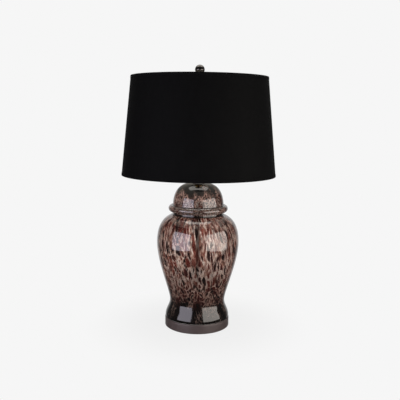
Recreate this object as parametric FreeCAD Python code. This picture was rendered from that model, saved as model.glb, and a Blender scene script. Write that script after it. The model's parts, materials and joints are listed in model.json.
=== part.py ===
import FreeCAD, Part
import math
import os

from FreeCAD import Vector

# Table lamp: a glass jar with a lid on a metal plinth, and a drum shade on a harp with a finial.
# Millimetres, +Z up. The origin is the middle of the felt's underside, on the table.
# The harp stands in the XZ plane, the switch knob points to -Y and the cord inlet to +Y.

# Gaps and overruns that several pieces share
running_gap = 0.3           # between pieces that move on each other
slip_gap = 0.2              # round what only passes through a hole
shaft_fit = 0.05            # radial clearance of a shaft in its bearing
contact_gap = 0.05          # between a wire ring and the sheet it is glued to
overrun = 1.0               # how far a cutter reaches past a face

# Threaded rod with its nuts, which clamp the plinth, the jar, the lid and the neck together
rod_radius = 5.0
rod_bore_radius = 3.6
rod_stub = 1.5              # what stands out below the bottom nut
nut_across_flats = 16.0
nut_thickness = 4.0
washer_radius = 12.0
washer_thickness = 1.5

# Plinth
plinth_radius = 92.0
plinth_height = 26.0        # top face above the table
plinth_wall = 2.5
plinth_edge_radius = 2.5
felt_thickness = 1.5
felt_margin = 2.0           # felt edge inside the plinth's edge
cover_thickness = 2.0
cover_gap = 0.3             # round the cover, inside the wall
ballast_margin = 11.5       # wiring space between the ballast and the wall
ballast_thickness = 12.0
cover_screw_count = 3
cover_screw_circle_share = 0.75     # of the ballast's radius
screw_radius = 1.75
screw_head_radius = 3.5
screw_head_share = 0.8      # of the cover's thickness
screw_length = 9.0
boss_radius = 5.0

# Cord inlet in the plinth's back
inlet_bore_radius = 3.8
inlet_thread_radius = 5.0
inlet_flange_radius = 7.5
inlet_flange_reach = 3.0    # flange face beyond the plinth's edge
inlet_thread_reach = 5.5    # thread end inside the plinth's inner wall
inlet_nut_across_flats = 13.0
inlet_nut_reach = 3.5       # nut face inside the plinth's inner wall
inlet_height_share = 0.46   # of the plinth's height

# Gaskets, all cut from one sheet
gasket_thickness = 1.0
gasket_inset = 0.5          # gasket edge inside the edge it seals

# Glass jar, with levels above its own underside
foot_inset = 1.0            # foot edge inside the plinth's edge
foot_edge_radius = 2.0
waist_radius = 78.5
waist_height = 49.0
belly_radius = 116.5
belly_height = 217.0
neck_radius = 71.0
shoulder_height = 296.5     # where the shoulder meets the neck's fillet
shoulder_slope = 22.0       # degrees, where it meets the fillet
neck_length = 21.5          # rim above the shoulder
jar_wall = 4.0
jar_floor = 6.0
neck_fillet = 2.5
rim_edge_radius = 1.0
floor_fillet = 4.0
foot_handle_shares = (0.4, 0.4)
body_handle_shares = (0.15, 0.35)
shoulder_handle_shares = (0.74, 0.4)
jar_gasket_width = 14.0

# Glass lid, with levels above the ledge that rests on the jar's rim
lid_wall = 3.8
lid_height = 66.0
lid_top_radius = 20.0       # flat middle of the dome
lid_dome_step = 0.8         # dome radius beyond the neck's radius
lid_crease_step = 0.8       # crease radius beyond the dome's radius
lip_drop = 15.0             # lip edge below the ledge
lip_gap = 1.2               # between the neck and the lip's inner edge
lip_edge_width = 2.8
lip_reach = 12.8            # lip's widest radius beyond the neck's radius
lip_widest_share = 0.6      # height of the widest point, of the lip's height
dome_handle_shares = (0.25, 0.9)

# Cap, nut and neck tube above the lid
cap_radius = 17.0
cap_thickness = 3.0
cap_edge_radius = 1.2
neck_tube_radius = 11.0
neck_tube_wall = 1.4
neck_tube_height = 15.0

# Lamp socket, with levels above its own underside
socket_hub_radius = 7.5
socket_hub_height = 6.0
socket_cap_radius = 17.2
socket_cap_wall = 0.8
socket_bowl_height = 17.0
socket_cap_height = 24.0
socket_shell_wall = 0.6
socket_shell_start = 18.0
socket_shell_height = 60.0
socket_bead = 0.7           # rolled bead beyond the shell's radius
liner_wall = 0.8
liner_setback = 1.0         # liner edge inside the shell's edge
body_foot_height = 3.0      # flange of the socket's body
body_height = 19.0
body_inset = 2.4            # waist of the body inside the liner
contact_radius = 4.0
contact_thickness = 1.2
screw_shell_wall = 0.5
terminal_head_radius = 2.4
terminal_head_thickness = 1.5
terminal_radius = 1.4
terminal_length = 5.0
terminal_seat = 0.6         # how deep the heads sit in the body's side

# Turn switch on the socket's side
stem_radius = 1.6
stem_depth = 7.0            # of the bearing hole in the socket's body
stem_hole_radius = 3.0      # in the shell and the liner
stem_out = 9.0              # stem end beyond the shell
knob_radius = 6.5
knob_length = 14.0
knob_start = 4.0            # knob face beyond the shell
knob_flute_count = 12
knob_flute_radius = 1.0
knob_edge_radius = 1.0

# Screw-base bulb, with levels above its own tip
bulb_radius = 30.0
bulb_length = 108.0
bulb_cap_radius = 13.1
bulb_cap_end = 26.0
bulb_cap_wall = 0.8
bulb_tip_radius = 4.5
bulb_tip_height = 1.5
bulb_insulator_height = 5.0
bulb_insulator_radius = 11.5
bulb_collar_radius = 27.0
bulb_collar_end = 58.0
bulb_globe_wall = 1.2
collar_handle_shares = (0.35, 0.45)
globe_handle_share = 0.33
thread_gap = 0.4            # between the bulb's cap and the socket's screw shell

# Harp: saddle, wire, ferrules and top stud
saddle_thickness = 2.0
saddle_width = 12.0
saddle_bend_radius = 4.0
lock_washer_radius = 8.0
lock_washer_thickness = 0.8
ear_height = 12.0           # ear's shoulders above the saddle's plate
tongue_width = 4.4
tongue_height = 9.0
ear_clearance = 2.6         # between the ferrules and the socket's cap
harp_height = 264.0         # shoulder of the top stud above the saddle's plate
harp_wire_radius = 1.8
harp_foot_radius = 3.0
harp_foot_height = 12.0
harp_bulb_clearance = 27.0  # between the bulb and the harp's widest point
harp_widest_share = 0.34    # of the height over the straight legs
harp_lower_bend_share = 0.3     # first radius of the two in the lower curve
harp_top_bend_radius = 22.0
ferrule_wall = 0.9
ferrule_length = 14.0
ferrule_travel = 15.0
stud_block_radius = 8.0
stud_block_height = 6.5
stud_radius = 3.175
stud_length = 12.0

# Shade
shade_top_radius = 189.5    # outer face of the cloth at the top edge
shade_bottom_radius = 215.5
shade_height = 271.0
fabric_thickness = 0.6
lining_thickness = 0.5
trim_thickness = 0.5
trim_height = 7.0
ring_wire_radius = 1.6
spider_arm_count = 3
spider_arm_radius = 1.5
spider_first_angle = 90.0   # degrees from +X
spider_hub_radius = 12.0
spider_hub_thickness = 1.5
spider_arm_start = 10.0
spider_rise_run = 30.0      # stretch in which an arm climbs to the ring
spider_bend_radius = 20.0
spider_drop = 7.7           # hub's top face below the shade's top edge

# Finial
finial_ball_radius = 13.5
finial_collar_radius = 7.5
finial_collar_height = 3.0
finial_neck_radius = 5.2
finial_cup_radius = 6.8
finial_base_height = 15.0
finial_seat_depth = 1.9     # how far the ball sinks below the base's rim

# Levels, from the table up
plate_underside = plinth_height - plinth_wall
ballast_bottom = plate_underside - ballast_thickness
washer_bottom = ballast_bottom - washer_thickness
nut_bottom = washer_bottom - nut_thickness
rod_bottom = nut_bottom - rod_stub
cover_top = felt_thickness + cover_thickness
jar_bottom = plinth_height + gasket_thickness
jar_rim = jar_bottom + shoulder_height + neck_length
lid_ledge = jar_rim + gasket_thickness
lid_top = lid_ledge + lid_height
cap_bottom = lid_top + gasket_thickness
cap_top = cap_bottom + cap_thickness
saddle_bottom = cap_top + neck_tube_height
saddle_top = saddle_bottom + saddle_thickness
socket_bottom = saddle_top + lock_washer_thickness
socket_top = socket_bottom + socket_shell_height
rod_top = socket_bottom + socket_hub_height
body_bottom = socket_bottom + socket_shell_start
body_top = body_bottom + body_height
bulb_tip = body_top + contact_thickness + running_gap
stem_level = body_bottom + body_height / 2
stud_shoulder = saddle_top + harp_height
hub_bottom = stud_shoulder + running_gap
hub_top = hub_bottom + spider_hub_thickness
shade_top = hub_top + spider_drop
shade_bottom = shade_top - shade_height
finial_bottom = hub_top + running_gap
finial_base_top = finial_bottom + finial_base_height

# Radii and reaches that follow
rod_hole_radius = rod_radius + slip_gap
plinth_inner_radius = plinth_radius - plinth_wall
ballast_radius = plinth_inner_radius - ballast_margin
foot_radius = plinth_radius - foot_inset
dome_radius = neck_radius + lid_dome_step
shell_radius = socket_cap_radius - socket_cap_wall
liner_radius = shell_radius - socket_shell_wall
liner_inner_radius = liner_radius - liner_wall
body_radius = liner_inner_radius - body_inset
screw_shell_radius = bulb_cap_radius + thread_gap + screw_shell_wall
ferrule_inner_radius = harp_foot_radius + running_gap
ferrule_radius = ferrule_inner_radius + ferrule_wall
harp_leg_offset = socket_cap_radius + ear_clearance + ferrule_radius
harp_half_width = bulb_radius + harp_bulb_clearance
ear_shoulder = saddle_top + ear_height
inlet_level = plinth_height * inlet_height_share
sheet_thickness = fabric_thickness + lining_thickness
shade_slope = (shade_bottom_radius - shade_top_radius) / shade_height
ring_offset = (ring_wire_radius + contact_gap) * math.hypot(1, shade_slope)
stud_top = stud_shoulder + stud_length

full_turn = 360
vertical = Vector(0, 0, 1)
axis_foot = Vector(0, 0, 0)


# Outlines in the XZ plane and the solids turned from them

def at(radius, height):
    return Vector(radius, 0, height)


def lines(*points):
    return [Part.LineSegment(a, b).toShape() for a, b in zip(points, points[1:])]


def curve(*poles):
    bezier = Part.BezierCurve()
    bezier.setPoles(list(poles))
    return [bezier.toShape()]


def arc(start, middle, end):
    return [Part.Arc(start, middle, end).toShape()]


def rounded(start, corner, end):
    """A quarter round in the square corner between two points."""
    centre = start + end - corner
    reach = corner - centre
    middle = centre + reach * ((start - centre).Length / reach.Length)
    return arc(start, middle, end)


def turned(outline):
    face = Part.Face(Part.Wire(outline))
    return face.revolve(axis_foot, vertical, full_turn)


def closed_turn(*points):
    return turned(lines(*points, points[0]))


def disc(radius, bottom, height):
    return Part.makeCylinder(radius, height, at(0, bottom))


def ring(outer, inner, bottom, height):
    return disc(outer, bottom, height).cut(disc(inner, bottom, height))


def hexagon(across_flats, bottom, height):
    corner_radius = across_flats / math.sqrt(3)
    corners = [polar(corner_radius, full_turn * step / 6, bottom) for step in range(6)]
    face = Part.Face(Part.makePolygon(corners + corners[:1]))
    return face.extrude(vertical * height)


def polar(radius, degrees, height=0):
    angle = math.radians(degrees)
    return Vector(radius * math.cos(angle), radius * math.sin(angle), height)


def turned_about(shape, degrees):
    copy = shape.copy()
    copy.rotate(axis_foot, vertical, degrees)
    return copy


def around(shape, count, first=0):
    return [turned_about(shape, first + full_turn * step / count) for step in range(count)]


def swept(path, radius):
    """A round wire along a path that starts in the given direction."""
    start = path[0].valueAt(path[0].FirstParameter)
    direction = path[0].tangentAt(path[0].FirstParameter)
    section = Part.Wire([Part.Circle(start, direction, radius).toShape()])
    return Part.Wire(path).makePipeShell([section], True, False)


# Plinth

def cover_screw_places():
    radius = ballast_radius * cover_screw_circle_share
    return [polar(radius, full_turn * step / cover_screw_count) for step in range(cover_screw_count)]


def moved(shape, place):
    copy = shape.copy()
    copy.translate(place)
    return copy


def cover_screw():
    """A countersunk screw on the axis, its head flush with the cover's underside."""
    head_height = cover_thickness * screw_head_share
    head = Part.makeCone(screw_head_radius, screw_radius, head_height, at(0, felt_thickness))
    return head.fuse(disc(screw_radius, felt_thickness, screw_length)).removeSplitter()


def cover_screws():
    return Part.makeCompound([moved(cover_screw(), place) for place in cover_screw_places()])


def felt_pad():
    return disc(plinth_radius - felt_margin, 0, felt_thickness)


def bottom_cover():
    plate = disc(plinth_inner_radius - cover_gap, felt_thickness, cover_thickness)
    return plate.cut([moved(cover_screw(), place) for place in cover_screw_places()])


def ballast_disc():
    """A cast disc under the top plate, with bosses that reach down to the cover."""
    cast = disc(ballast_radius, ballast_bottom, ballast_thickness)
    boss = disc(boss_radius, cover_top, ballast_bottom + overrun - cover_top)
    cast = cast.fuse([moved(boss, place) for place in cover_screw_places()])
    cast = cast.cut(disc(rod_hole_radius, ballast_bottom, ballast_thickness))
    return cast.cut([moved(cover_screw(), place) for place in cover_screw_places()]).removeSplitter()


def inlet_cylinder(radius, start, end):
    return Part.makeCylinder(radius, end - start, Vector(0, start, inlet_level), Vector(0, 1, 0))


def plinth_shell():
    """An upturned cup with a rounded top edge, a rod hole and the cord inlet's hole."""
    shell = turned(
        lines(at(rod_hole_radius, plinth_height), at(plinth_radius - plinth_edge_radius, plinth_height))
        + rounded(
            at(plinth_radius - plinth_edge_radius, plinth_height),
            at(plinth_radius, plinth_height),
            at(plinth_radius, plinth_height - plinth_edge_radius),
        )
        + lines(
            at(plinth_radius, plinth_height - plinth_edge_radius),
            at(plinth_radius, felt_thickness),
            at(plinth_inner_radius, felt_thickness),
            at(plinth_inner_radius, plate_underside),
            at(rod_hole_radius, plate_underside),
            at(rod_hole_radius, plinth_height),
        )
    )
    hole_start = plinth_inner_radius - overrun - plinth_wall
    return shell.cut(inlet_cylinder(inlet_thread_radius, hole_start, plinth_radius + overrun))


def cord_bushing():
    """A flanged sleeve through the back wall, its flange hollowed to lie on the round plinth."""
    thread_end = plinth_inner_radius - inlet_thread_reach
    flange_end = plinth_radius + inlet_flange_reach
    flange = inlet_cylinder(inlet_flange_radius, plinth_inner_radius, flange_end)
    flange = flange.cut(disc(plinth_radius, 0, plinth_height))
    sleeve = inlet_cylinder(inlet_thread_radius, thread_end, flange_end)
    bore = inlet_cylinder(inlet_bore_radius, thread_end - overrun, flange_end + overrun)
    return sleeve.fuse(flange).cut(bore).removeSplitter()


def bushing_nut():
    """A hexagon nut on the bushing, hollowed outwards to bear on the plinth's inner wall."""
    nut = hexagon(inlet_nut_across_flats, 0, inlet_nut_reach + plinth_wall)
    nut.rotate(axis_foot, Vector(1, 0, 0), -full_turn / 4)
    nut.translate(Vector(0, plinth_inner_radius - inlet_nut_reach, inlet_level))
    nut = nut.common(disc(plinth_inner_radius, 0, plinth_height))
    thread_end = plinth_inner_radius - inlet_thread_reach
    return nut.cut(inlet_cylinder(inlet_thread_radius, thread_end, plinth_radius))


def rod_bottom_washer():
    return ring(washer_radius, rod_hole_radius, washer_bottom, washer_thickness)


def rod_nut(bottom):
    return hexagon(nut_across_flats, bottom, nut_thickness).cut(disc(rod_radius, bottom, nut_thickness))


def rod_bottom_nut():
    return rod_nut(nut_bottom)


def rod():
    return ring(rod_radius, rod_bore_radius, rod_bottom, rod_top - rod_bottom)


# Glass jar and lid

def shoulder_round(neck_r, radius, level):
    """Start, middle and end of the arc that turns the sloping shoulder, at a level, up into a neck."""
    sweep = math.radians(full_turn / 4 - shoulder_slope)
    centre = at(neck_r + radius, level + radius * math.sin(sweep))
    turns = [sweep, sweep / 2, 0]
    return [centre - at(radius * math.cos(turn), radius * math.sin(turn)) for turn in turns]


def jar_curves(inset, foot_level):
    """The jar's side from foot to shoulder, drawn inset from its outer face."""
    waist = jar_bottom + waist_height
    belly = jar_bottom + belly_height
    shoulder = jar_bottom + shoulder_height - inset
    foot_rise = waist - foot_level
    body_rise = belly - waist
    shoulder_rise = shoulder - belly
    foot_r = foot_radius - inset
    waist_r = waist_radius - inset
    belly_r = belly_radius - inset
    neck_r = shoulder_round(neck_radius, neck_fillet, shoulder)[0].x
    foot_first, foot_last = foot_handle_shares
    body_first, body_last = body_handle_shares
    shoulder_first, shoulder_last = shoulder_handle_shares
    last_run = shoulder_last * (belly_r - neck_r)
    return [
        [
            at(foot_r, foot_level),
            at(foot_r, foot_level + foot_first * foot_rise),
            at(waist_r, waist - foot_last * foot_rise),
            at(waist_r, waist),
        ],
        [
            at(waist_r, waist),
            at(waist_r, waist + body_first * body_rise),
            at(belly_r, belly - body_last * body_rise),
            at(belly_r, belly),
        ],
        [
            at(belly_r, belly),
            at(belly_r, belly + shoulder_first * shoulder_rise),
            at(neck_r + last_run, shoulder - last_run * math.tan(math.radians(shoulder_slope))),
            at(neck_r, shoulder),
        ],
    ]


def jar_body():
    """A blown jar with a thick floor, a hole for the rod and an open neck."""
    foot_curve_start = jar_bottom + foot_edge_radius
    floor_top = jar_bottom + jar_floor
    inner_foot_start = floor_top + floor_fillet
    inner_foot_r = foot_radius - jar_wall
    shoulder = jar_bottom + shoulder_height
    inner_shoulder = shoulder - jar_wall
    inner_neck = neck_radius - jar_wall
    inner_round = jar_wall - rim_edge_radius
    outer = jar_curves(0, foot_curve_start)
    inner = jar_curves(jar_wall, inner_foot_start)
    outer_round = shoulder_round(neck_radius, neck_fillet, shoulder)
    inner_start = inner[-1][-1]
    inner_run = inner_start.x - shoulder_round(inner_neck, inner_round, inner_shoulder)[0].x
    inner_rise = inner_run * math.tan(math.radians(shoulder_slope))
    inner_arc = shoulder_round(inner_neck, inner_round, inner_shoulder + inner_rise)
    outline = lines(at(rod_hole_radius, jar_bottom), at(foot_radius - foot_edge_radius, jar_bottom))
    outline += rounded(
        at(foot_radius - foot_edge_radius, jar_bottom),
        at(foot_radius, jar_bottom),
        at(foot_radius, foot_curve_start),
    )
    for poles in outer:
        outline += curve(*poles)
    outline += arc(*outer_round)
    outline += lines(outer_round[-1], at(neck_radius, jar_rim - rim_edge_radius))
    outline += rounded(
        at(neck_radius, jar_rim - rim_edge_radius),
        at(neck_radius, jar_rim),
        at(neck_radius - rim_edge_radius, jar_rim),
    )
    outline += lines(at(neck_radius - rim_edge_radius, jar_rim), at(inner_neck + rim_edge_radius, jar_rim))
    outline += rounded(
        at(inner_neck + rim_edge_radius, jar_rim),
        at(inner_neck, jar_rim),
        at(inner_neck, jar_rim - rim_edge_radius),
    )
    outline += lines(at(inner_neck, jar_rim - rim_edge_radius), inner_arc[-1])
    outline += arc(*reversed(inner_arc))
    outline += lines(inner_arc[0], inner_start)
    for poles in reversed(inner):
        outline += curve(*reversed(poles))
    outline += rounded(
        at(inner_foot_r, inner_foot_start),
        at(inner_foot_r, floor_top),
        at(inner_foot_r - floor_fillet, floor_top),
    )
    outline += lines(
        at(inner_foot_r - floor_fillet, floor_top),
        at(rod_hole_radius, floor_top),
        at(rod_hole_radius, jar_bottom),
    )
    return turned(outline)


def dome_poles(inset, start):
    """The lid's dome from its foot to the flat middle, drawn inset from its outer face."""
    foot_r = dome_radius - inset
    top = lid_top - inset
    rise = lid_top - lid_ledge - inset
    first, last = dome_handle_shares
    return [
        at(foot_r, start),
        at(foot_r, start + first * rise),
        at(lid_top_radius + last * (foot_r - lid_top_radius), top),
        at(lid_top_radius, top),
    ]


def jar_lid():
    """A blown dome whose ledge rests on the jar's rim and whose rolled lip hangs round its neck."""
    crease = lid_ledge + lid_wall
    crease_r = dome_radius + lid_crease_step
    lip_bottom = lid_ledge - lip_drop
    lip_inner_r = neck_radius + lip_gap
    lip_outer_r = lip_inner_r + lip_edge_width
    widest = lip_bottom + lip_widest_share * (crease - lip_bottom)
    widest_r = neck_radius + lip_reach
    dome_start = crease + lid_crease_step
    outer = dome_poles(0, dome_start)
    inner = dome_poles(lid_wall, lid_ledge)
    outline = lines(at(lip_inner_r, lip_bottom), at(lip_outer_r, lip_bottom))
    outline += arc(at(lip_outer_r, lip_bottom), at(widest_r, widest), at(crease_r, crease))
    outline += rounded(at(crease_r, crease), at(dome_radius, crease), at(dome_radius, dome_start))
    outline += curve(*outer)
    outline += lines(outer[-1], at(rod_hole_radius, lid_top), at(rod_hole_radius, lid_top - lid_wall))
    outline += lines(at(rod_hole_radius, lid_top - lid_wall), inner[-1])
    outline += curve(*reversed(inner))
    outline += lines(inner[0], at(lip_inner_r, lid_ledge))
    inner_widest = at(widest_r - lid_wall, (lip_bottom + lid_ledge) / 2)
    outline += arc(at(lip_inner_r, lid_ledge), inner_widest, at(lip_inner_r, lip_bottom))
    return turned(outline)


def jar_gasket():
    outer = foot_radius - foot_edge_radius - gasket_inset
    return ring(outer, outer - jar_gasket_width, plinth_height, gasket_thickness)


def lid_gasket():
    outer = neck_radius - rim_edge_radius
    return ring(outer, neck_radius - jar_wall + rim_edge_radius, jar_rim, gasket_thickness)


def cap_gasket():
    return ring(cap_radius - gasket_inset, rod_hole_radius, lid_top, gasket_thickness)


# Cap, nut and neck tube

def lid_cap():
    """A turned disc with a rounded upper edge."""
    outline = lines(
        at(rod_hole_radius, cap_bottom),
        at(cap_radius, cap_bottom),
        at(cap_radius, cap_top - cap_edge_radius),
    )
    outline += rounded(
        at(cap_radius, cap_top - cap_edge_radius),
        at(cap_radius, cap_top),
        at(cap_radius - cap_edge_radius, cap_top),
    )
    outline += lines(
        at(cap_radius - cap_edge_radius, cap_top),
        at(rod_hole_radius, cap_top),
        at(rod_hole_radius, cap_bottom),
    )
    return turned(outline)


def lid_cap_nut():
    return rod_nut(cap_top)


def neck_tube():
    return ring(neck_tube_radius, neck_tube_radius - neck_tube_wall, cap_top, neck_tube_height)


# Harp

def harp_saddle():
    """A bent strip: a plate under the socket and an ear at each end with a narrow tongue."""
    half = harp_leg_offset + saddle_thickness / 2
    inner_bend = saddle_bend_radius - saddle_thickness
    inner = half - saddle_thickness
    ear_top = ear_shoulder + tongue_height
    right = lines(at(0, saddle_bottom), at(half - saddle_bend_radius, saddle_bottom))
    right += rounded(
        at(half - saddle_bend_radius, saddle_bottom),
        at(half, saddle_bottom),
        at(half, saddle_bottom + saddle_bend_radius),
    )
    right += lines(at(half, saddle_bottom + saddle_bend_radius), at(half, ear_top), at(inner, ear_top))
    right += lines(at(inner, ear_top), at(inner, saddle_top + inner_bend))
    right += rounded(
        at(inner, saddle_top + inner_bend),
        at(inner, saddle_top),
        at(inner - inner_bend, saddle_top),
    )
    right += lines(at(inner - inner_bend, saddle_top), at(0, saddle_top), at(0, saddle_bottom))
    half_strip = Part.Face(Part.Wire(right)).extrude(Vector(0, saddle_width, 0))
    half_strip.translate(Vector(0, -saddle_width / 2, 0))
    strip = half_strip.fuse(turned_about(half_strip, full_turn / 2))
    strip = strip.cut(disc(rod_hole_radius, saddle_bottom, saddle_thickness))
    notch_width = (saddle_width - tongue_width) / 2
    notch_size = (2 * half, notch_width, tongue_height)
    for side in (-saddle_width / 2, tongue_width / 2):
        strip = strip.cut(Part.makeBox(*notch_size, Vector(-half, side, ear_shoulder)))
    return strip.removeSplitter()


def saddle_washer():
    return ring(lock_washer_radius, rod_hole_radius, saddle_top, lock_washer_thickness)


def harp_side(sign):
    """One side of the harp's centre line, from the leg's foot up to the top bend's end."""
    straight_end = ear_shoulder + ferrule_length + ferrule_travel + running_gap
    wire_top = stud_shoulder - stud_block_height / 2
    widest = straight_end + harp_widest_share * (wire_top - straight_end)
    out = harp_half_width - harp_leg_offset
    rise = widest - straight_end
    lower_turn = 2 * math.atan(out / rise)
    both_radii = rise / math.sin(lower_turn)
    first_radius = both_radii * harp_lower_bend_share
    second_radius = both_radii - first_radius
    inward = harp_half_width - stud_block_radius - harp_top_bend_radius
    upward = wire_top - widest - harp_top_bend_radius
    difference = (inward ** 2 + upward ** 2) / (2 * inward)
    side_radius = harp_top_bend_radius + difference
    upper_turn = math.asin(upward / difference)

    def bend(centre, radius, start, end):
        centre_x, centre_z = centre
        return arc(*[
            at(sign * (centre_x + radius * math.cos(angle)), centre_z + radius * math.sin(angle))
            for angle in (start, (start + end) / 2, end)
        ])

    leg = lines(at(sign * harp_leg_offset, ear_shoulder + tongue_height),
                at(sign * harp_leg_offset, straight_end))
    half_turn = math.pi
    lower_centre = (harp_leg_offset + first_radius, straight_end)
    middle_centre = (harp_half_width - second_radius, widest)
    upper_centre = (harp_half_width - side_radius, widest)
    top_centre = (stud_block_radius, wire_top - harp_top_bend_radius)
    return (
        leg
        + bend(lower_centre, first_radius, half_turn, half_turn - lower_turn)
        + bend(middle_centre, second_radius, -lower_turn, 0)
        + bend(upper_centre, side_radius, 0, upper_turn)
        + bend(top_centre, harp_top_bend_radius, upper_turn, half_turn / 2)
    )


def harp_foot(sign):
    """The swaged end of a leg, slotted to sit on the saddle's tongue."""
    foot = disc(harp_foot_radius, ear_shoulder, harp_foot_height)
    slot_width = saddle_thickness
    slot = Part.makeBox(slot_width, tongue_width, tongue_height,
                        Vector(-slot_width / 2, -tongue_width / 2, ear_shoulder))
    return moved(foot.cut(slot), Vector(sign * harp_leg_offset, 0, 0))


def harp_wire():
    right = harp_side(1)
    left = harp_side(-1)
    wire_top = stud_shoulder - stud_block_height / 2
    top = lines(at(-stud_block_radius, wire_top), at(stud_block_radius, wire_top))
    loop = swept(left + top + right[::-1], harp_wire_radius)
    return loop.fuse([harp_foot(1), harp_foot(-1)]).removeSplitter()


def harp_stud():
    """A block round the wire's flat top, with the stud that the finial screws onto."""
    block = disc(stud_block_radius, stud_shoulder - stud_block_height, stud_block_height)
    stud = disc(stud_radius, stud_shoulder, stud_length)
    wire_top = stud_shoulder - stud_block_height / 2
    tunnel = Part.makeCylinder(harp_wire_radius, 2 * stud_block_radius,
                               at(-stud_block_radius, wire_top), Vector(1, 0, 0))
    return block.fuse(stud).cut(tunnel).removeSplitter()


def ferrule(sign):
    sleeve = ring(ferrule_radius, ferrule_inner_radius, ear_shoulder + running_gap, ferrule_length)
    return moved(sleeve, Vector(sign * harp_leg_offset, 0, 0))


# Socket and switch

def socket_cap():
    """A spun cup with a threaded hub at its bottom."""
    bowl_top = socket_bottom + socket_bowl_height
    rim = socket_bottom + socket_cap_height
    hub_top_level = socket_bottom + socket_hub_height
    bowl_middle = (hub_top_level + bowl_top) / 2
    outline = lines(
        at(rod_radius, socket_bottom), at(socket_hub_radius, socket_bottom),
        at(socket_hub_radius, hub_top_level),
    )
    outline += curve(at(socket_hub_radius, hub_top_level), at(socket_cap_radius, hub_top_level),
                     at(socket_cap_radius, bowl_middle), at(socket_cap_radius, bowl_top))
    outline += lines(at(socket_cap_radius, bowl_top), at(socket_cap_radius, rim),
                     at(shell_radius, rim), at(shell_radius, bowl_top))
    outline += curve(at(shell_radius, bowl_top), at(shell_radius, bowl_middle),
                     at(shell_radius, hub_top_level + socket_cap_wall),
                     at(socket_hub_radius, hub_top_level + socket_cap_wall))
    outline += lines(at(socket_hub_radius, hub_top_level + socket_cap_wall),
                     at(rod_radius, hub_top_level + socket_cap_wall), at(rod_radius, socket_bottom))
    return turned(outline)


def stem_cylinder(radius, start, end):
    """A cylinder along the switch's axis, from start to end as distances from the lamp's axis."""
    return Part.makeCylinder(radius, end - start, Vector(0, -start, stem_level), Vector(0, -1, 0))


def socket_shell():
    start = socket_bottom + socket_shell_start
    shell = ring(shell_radius, liner_radius, start, socket_top - start)
    bead = Part.makeTorus(shell_radius, socket_bead, at(0, socket_top - socket_bead))
    bead = bead.cut(disc(liner_radius, socket_bottom, socket_shell_height))
    hole = stem_cylinder(stem_hole_radius, body_radius, shell_radius + overrun)
    return shell.fuse(bead).cut(hole).removeSplitter()


def socket_liner():
    start = socket_bottom + socket_shell_start
    liner = ring(liner_radius, liner_inner_radius, start, socket_top - liner_setback - start)
    return liner.cut(stem_cylinder(stem_hole_radius, body_radius, shell_radius + overrun))


def terminal_screw(sign):
    """A screw in the side of the socket's body, its head seated in a shallow pocket."""
    out = Vector(sign, 0, 0)
    seat = body_radius - terminal_seat
    shank = Part.makeCylinder(terminal_radius, terminal_length,
                              Vector(sign * (seat - terminal_length), 0, stem_level), out)
    head = Part.makeCylinder(terminal_head_radius, terminal_head_thickness + terminal_seat,
                             Vector(sign * seat, 0, stem_level), out)
    return shank.fuse(head).removeSplitter()


def terminal_screws():
    return Part.makeCompound([terminal_screw(1), terminal_screw(-1)])


def socket_body():
    """A moulded block that fills the liner at its foot and carries the switch and the contacts."""
    block = disc(body_radius, body_bottom, body_height)
    foot = disc(liner_inner_radius, body_bottom, body_foot_height)
    head = disc(screw_shell_radius, body_top - body_foot_height, body_foot_height)
    bearing = stem_cylinder(stem_radius + shaft_fit, body_radius - stem_depth, liner_radius)
    return block.fuse([foot, head]).cut([bearing, terminal_screw(1), terminal_screw(-1)]).removeSplitter()


def screw_shell():
    start = body_top
    height = socket_top - liner_setback - start
    return ring(screw_shell_radius, screw_shell_radius - screw_shell_wall, start, height)


def centre_contact():
    return disc(contact_radius, body_top, contact_thickness)


def switch_stem():
    start = body_radius - stem_depth + running_gap
    return stem_cylinder(stem_radius, start, shell_radius + stem_out)


def switch_knob():
    """A fluted knob, blind bored for the stem."""
    start = shell_radius + knob_start
    end = start + knob_length
    knob = stem_cylinder(knob_radius, start, end)
    rims = [edge for edge in knob.Edges if isinstance(edge.Curve, Part.Circle)]
    knob = knob.makeFillet(knob_edge_radius, rims)
    flutes = []
    for step in range(knob_flute_count):
        angle = 2 * math.pi * step / knob_flute_count
        foot = Vector(knob_radius * math.cos(angle), -start, stem_level + knob_radius * math.sin(angle))
        flutes.append(Part.makeCylinder(knob_flute_radius, knob_length, foot, Vector(0, -1, 0)))
    return knob.cut(flutes).cut(stem_cylinder(stem_radius, start, shell_radius + stem_out))


# Bulb

def bulb_contact():
    return disc(bulb_tip_radius, bulb_tip, bulb_tip_height)


def bulb_insulator():
    height = bulb_insulator_height - bulb_tip_height
    return Part.makeCone(bulb_tip_radius, bulb_insulator_radius, height, at(0, bulb_tip + bulb_tip_height))


def bulb_cap():
    """The bulb's screw cap, a cup over the insulator with an open top."""
    start = bulb_tip + bulb_insulator_height
    inner = bulb_cap_radius - bulb_cap_wall
    return closed_turn(
        at(0, start),
        at(bulb_insulator_radius, start),
        at(bulb_cap_radius, start + bulb_tip_height),
        at(bulb_cap_radius, bulb_tip + bulb_cap_end),
        at(inner, bulb_tip + bulb_cap_end),
        at(inner, start + bulb_tip_height),
        at(0, start + bulb_tip_height),
    )


def bulb_collar():
    """The housing that widens from the cap to the globe."""
    start = bulb_tip + bulb_cap_end
    end = bulb_tip + bulb_collar_end
    rise = end - start
    first, last = collar_handle_shares
    inner_start = bulb_cap_radius - bulb_cap_wall
    inner_end = bulb_collar_radius - bulb_globe_wall
    outline = curve(at(bulb_cap_radius, start), at(bulb_cap_radius, start + first * rise),
                    at(bulb_collar_radius, end - last * rise), at(bulb_collar_radius, end))
    outline += lines(at(bulb_collar_radius, end), at(inner_end, end))
    outline += curve(at(inner_end, end), at(inner_end, end - last * rise),
                     at(inner_start, start + first * rise), at(inner_start, start))
    outline += lines(at(inner_start, start), at(bulb_cap_radius, start))
    return turned(outline)


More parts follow.
